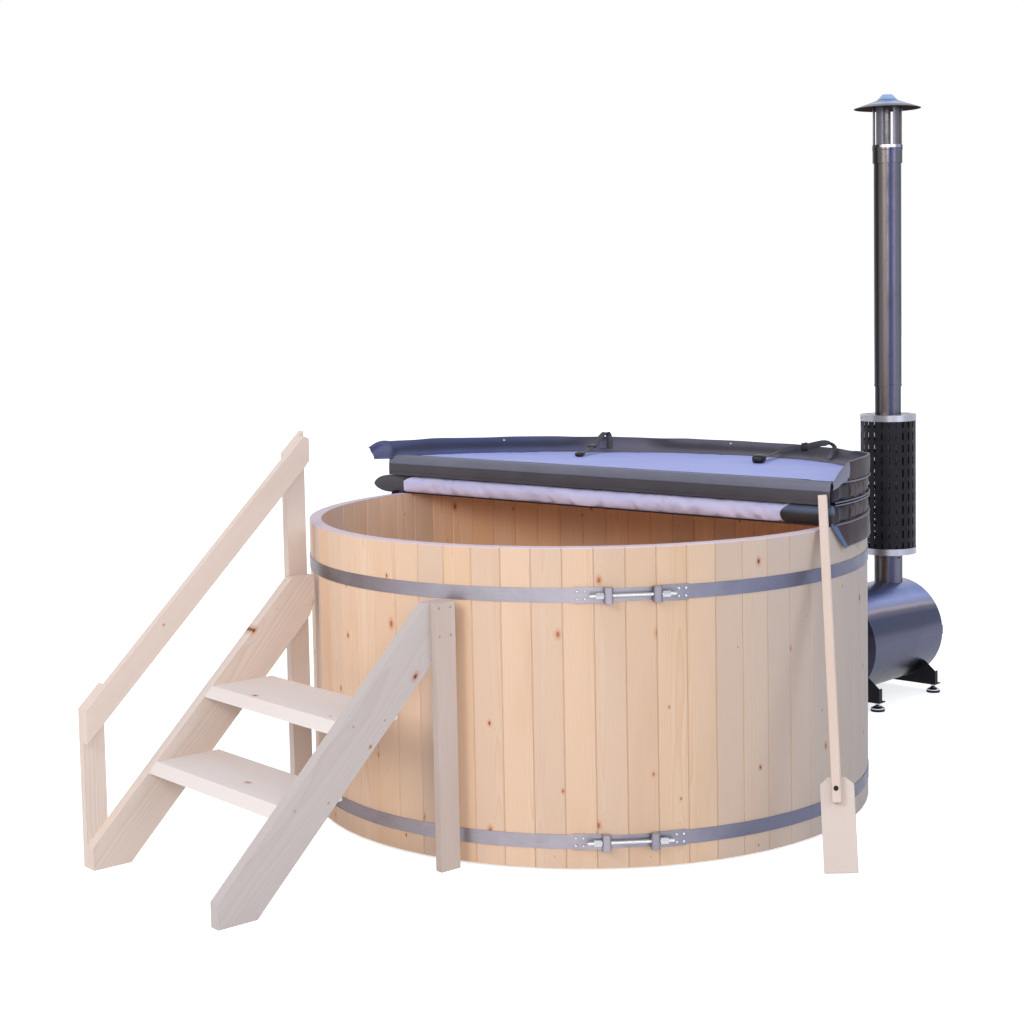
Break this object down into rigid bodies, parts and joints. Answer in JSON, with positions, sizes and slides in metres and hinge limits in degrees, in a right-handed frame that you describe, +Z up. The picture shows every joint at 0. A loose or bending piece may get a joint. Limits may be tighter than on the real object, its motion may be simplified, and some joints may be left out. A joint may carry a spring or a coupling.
{
  "type": "hot tub",
  "caption": "Round wooden hot tub of hooped staves with a folded half cover, an outside wood stove with guarded chimney, timber steps and a paddle",
  "frame": {"origin": "Under the middle of the centre joist, on the ground and on the tub's axis", "axes": "+Z up; +X to the picture's right; +Y away from its camera. The steps climb towards +X+Y and the stove stands off at azimuth 50 degrees"},
  "size_m": [3.2184, 3.3435, 2.65],
  "materials": {
    "tub_wood": "satin",
    "step_wood": "matte",
    "paddle_wood": "matte",
    "hoop_steel": "satin",
    "stainless": "satin",
    "stove_dark": "matte",
    "flue_steel": "satin",
    "foot_chrome": "polished",
    "black_rubber": "matte",
    "valve_brass": "satin",
    "lever_red": "gloss",
    "screw_steel": "satin",
    "cover_lilac": "matte",
    "cover_vinyl": "satin",
    "black_webbing": "matte",
    "black_plastic": "matte"
  },
  "bodies": {
    "tub": {"staves": "tub_wood", "floor_boards": "tub_wood", "floor_joists": "tub_wood", "hoop_upper": "hoop_steel", "hoop_lower": "hoop_steel", "bridge_straps": "hoop_steel", "end_loops": "hoop_steel", "strap_rivets": "hoop_steel", "trunnions": "hoop_steel", "tension_rods": "hoop_steel", "tension_nuts": "hoop_steel", "bench_slats": "tub_wood", "bench_frames": "tub_wood", "wall_fittings": "stainless", "wall_backnuts": "stainless", "inlet_strainers": "stainless", "water_pipes": "stainless", "pipe_sleeves": "black_rubber", "sleeve_clamps": "stainless", "stove_shell": "stainless", "stove_back": "stove_dark", "stove_front": "stove_dark", "firebox": "stove_dark", "fire_grate": "stove_dark", "latch_keeper": "stainless", "stove_saddles": "stove_dark", "levelling_feet": "foot_chrome", "foot_pads": "black_rubber", "flue_stub": "stove_dark", "guard_ring_lower": "flue_steel", "guard_tube": "stove_dark", "guard_ring_upper": "flue_steel", "guard_screws": "stainless", "flue_lower": "flue_steel", "flue_upper": "flue_steel", "cap_collar": "flue_steel", "cap_legs": "flue_steel", "rain_cap": "flue_steel", "door_hinge_pins": "stove_dark", "drain_body": "valve_brass"},
    "cover_lower": {"cover_pad_lower": "cover_lilac", "cover_skirt_lower": "cover_vinyl"},
    "cover_upper": {"cover_pad_upper": "cover_lilac", "cover_skirt_upper": "cover_vinyl", "cover_hinge": "cover_vinyl", "cover_straps": "black_webbing", "strap_buckles": "black_plastic"},
    "door": {"stove_door": "stove_dark"},
    "latch": {"door_latch": "stainless"},
    "damper": {"air_damper": "stainless"},
    "drain_valve": {"drain_lever": "lever_red", "drain_ball": "stainless"},
    "steps": {"step_stringers": "step_wood", "step_treads": "step_wood", "step_posts": "step_wood", "handrail": "step_wood", "step_screws": "screw_steel"},
    "paddle": {"paddle_blade": "paddle_wood", "paddle_handle": "paddle_wood", "paddle_bolt": "screw_steel"}
  },
  "joints": [
    {"name": "cover_lift", "type": "slide", "parent": "tub", "child": "cover_lower", "axis": [0, 0, 1], "range_m": [0, 0.4]},
    {"name": "cover_fold", "type": "hinge", "parent": "cover_lower", "child": "cover_upper", "pos_m": [0, 0, 1.09537], "axis": [0.7738, -0.6334, 0], "range_deg": [0, 176], "deforming": ["cover_straps"]},
    {"name": "stove_door_swing", "type": "hinge", "parent": "tub", "child": "door", "pos_m": [1.27817, 1.8033, 0.271], "axis": [0, 0, 1], "range_deg": [0, 120]},
    {"name": "door_latch_turn", "type": "hinge", "parent": "door", "child": "latch", "pos_m": [1.52766, 1.59657, 0.271], "axis": [0.6428, 0.766, 0], "range_deg": [0, 75]},
    {"name": "air_damper_slide", "type": "slide", "parent": "door", "child": "damper", "axis": [-0.766, 0.6428, 0], "range_m": [0, 0.026]},
    {"name": "drain_valve_turn", "type": "hinge", "parent": "tub", "child": "drain_valve", "pos_m": [-0.09491, 1.08486, 0.166], "axis": [0, 0, -1], "range_deg": [0, 90]},
    {"name": "steps_lift", "type": "slide", "parent": "tub", "child": "steps", "axis": [0, 0, 1], "range_m": [0, 0.3]},
    {"name": "paddle_lift", "type": "slide", "parent": "tub", "child": "paddle", "axis": [0, 0, 1], "range_m": [0, 0.4]}
  ]
}
